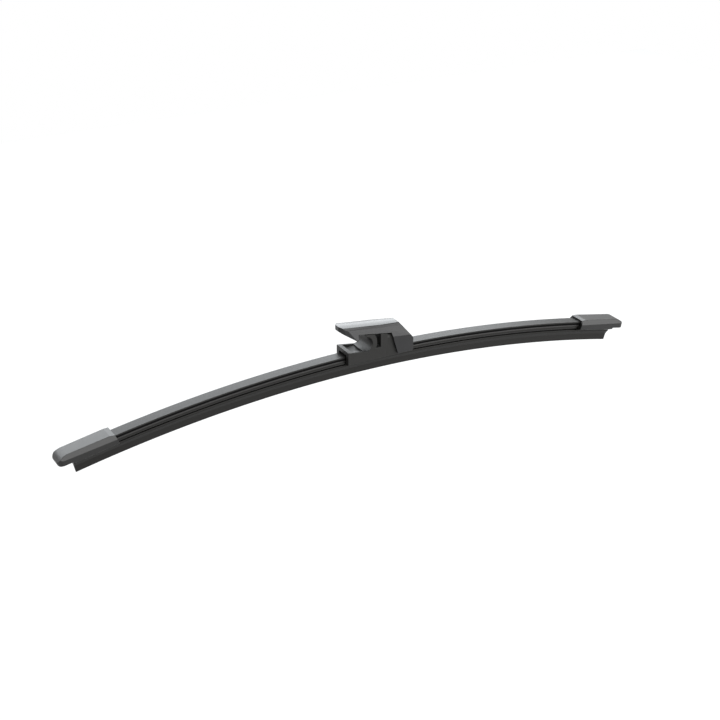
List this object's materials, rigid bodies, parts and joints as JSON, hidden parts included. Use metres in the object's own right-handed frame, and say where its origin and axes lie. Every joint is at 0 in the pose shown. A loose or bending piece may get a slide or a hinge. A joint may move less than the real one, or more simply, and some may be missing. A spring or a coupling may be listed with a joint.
{
  "type": "wiper blade",
  "caption": "Flat rear wiper blade with an arched grooved rubber, a moulded cap on each end and a snap connector whose open C-shaped seat takes the wiper arm's pin.",
  "frame": {"origin": "centre of the connector's C-shaped seat for the wiper arm's pin", "axes": "+X along the blade from the beak side towards the connector's leg, +Y across the blade along the arm's pin, +Z away from the windscreen"},
  "size_m": [0.3422, 0.0134, 0.0466],
  "materials": {
    "rubber": "matte black wiper rubber with a faint sheen along the head",
    "spring_steel": "black coated spring steel",
    "cap_plastic": "satin black moulded plastic with a fine grain",
    "base_plastic": "satin black moulded plastic",
    "cover_plastic": "smooth semi-gloss black moulded plastic"
  },
  "bodies": {
    "root": {"wiper_rubber": "rubber", "rail_front": "spring_steel", "rail_back": "spring_steel", "end_cap_left": "cap_plastic", "end_cap_right": "cap_plastic", "connector_base": "base_plastic", "connector_cover": "cover_plastic"}
  },
  "joints": []
}
